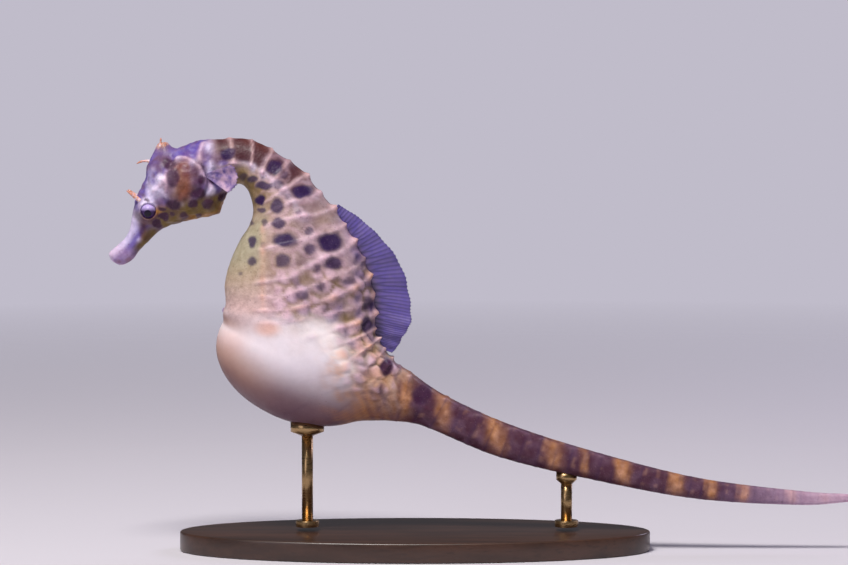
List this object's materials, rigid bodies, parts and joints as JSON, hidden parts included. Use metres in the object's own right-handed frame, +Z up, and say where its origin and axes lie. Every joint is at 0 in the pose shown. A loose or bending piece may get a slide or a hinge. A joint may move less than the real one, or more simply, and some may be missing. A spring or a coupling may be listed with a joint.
{
  "type": "seahorse model",
  "caption": "Life-size still model of a pot-bellied seahorse with a swollen brood pouch and a trailing tail, held over a flat oval base by short rods.",
  "frame": {"origin": "middle of the whole object's box, on the underside of the stand's base", "axes": "+Z up, +X from the snout towards the tip of the tail, +Y towards the animal's right side, with its plane of symmetry at y = 0"},
  "size_m": [0.1929, 0.05, 0.1038],
  "materials": {
    "skin": "smooth moist skin over bony rings, pinkish cream with dark purple spots, lavender head, olive jaw, tail banded brown and ochre",
    "fin_membrane": "thin violet translucent membrane over fine darker rays, paler on the small fins",
    "skin_thread": "moist orange skin",
    "eye": "wet gloss, pale lavender above, dark purple below, dark pupil",
    "stand_wood": "dark stained hardwood, satin varnish",
    "stand_brass": "satin brass"
  },
  "bodies": {
    "root": {"mouth": "skin", "snout": "skin", "head": "skin", "coronet": "skin", "nape": "skin", "neck": "skin", "trunk_upper": "skin", "trunk_middle": "skin", "trunk_lower": "skin", "brood_pouch": "skin", "tail_root": "skin", "tail_front": "skin", "tail_middle": "skin", "tail_rear": "skin", "tail_end": "skin", "eye_left": "eye", "eye_right": "eye", "eye_spine_left": "skin_thread", "eye_spine_right": "skin_thread", "forehead_thread": "skin_thread", "dorsal_fin": "fin_membrane", "pectoral_fin_left": "fin_membrane", "pectoral_fin_right": "fin_membrane", "anal_fin": "fin_membrane", "stand_base": "stand_wood", "stand_rod_front": "stand_brass", "stand_cup_front": "stand_brass", "stand_rod_rear": "stand_brass", "stand_cup_rear": "stand_brass"}
  },
  "joints": []
}
